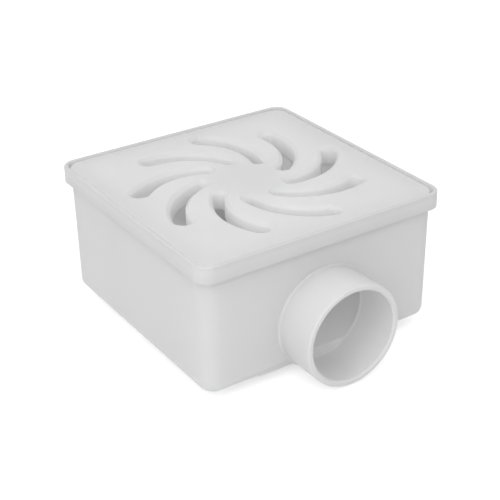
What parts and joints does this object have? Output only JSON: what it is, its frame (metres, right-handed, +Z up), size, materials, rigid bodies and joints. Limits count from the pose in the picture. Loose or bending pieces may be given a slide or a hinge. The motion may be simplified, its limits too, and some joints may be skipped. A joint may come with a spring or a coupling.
{
  "type": "gully trap",
  "caption": "Square white plastic floor gully with a side pipe outlet, a lift-out trap funnel that makes a water seal, and a drop-in grate with swirling curved slots.",
  "frame": {"origin": "centre of the flat pad under the box, below the middle of the grate", "axes": "+Z up through the grate, -Y along the outlet, +X to the right seen from the outlet side"},
  "size_m": [0.1046, 0.1201, 0.057],
  "materials": {
    "body_plastic": "satin",
    "grate_plastic": "satin",
    "trap_plastic": "satin"
  },
  "bodies": {
    "root": {"gully_body": "body_plastic", "trap_funnel": "trap_plastic", "grate": "grate_plastic"}
  },
  "joints": []
}
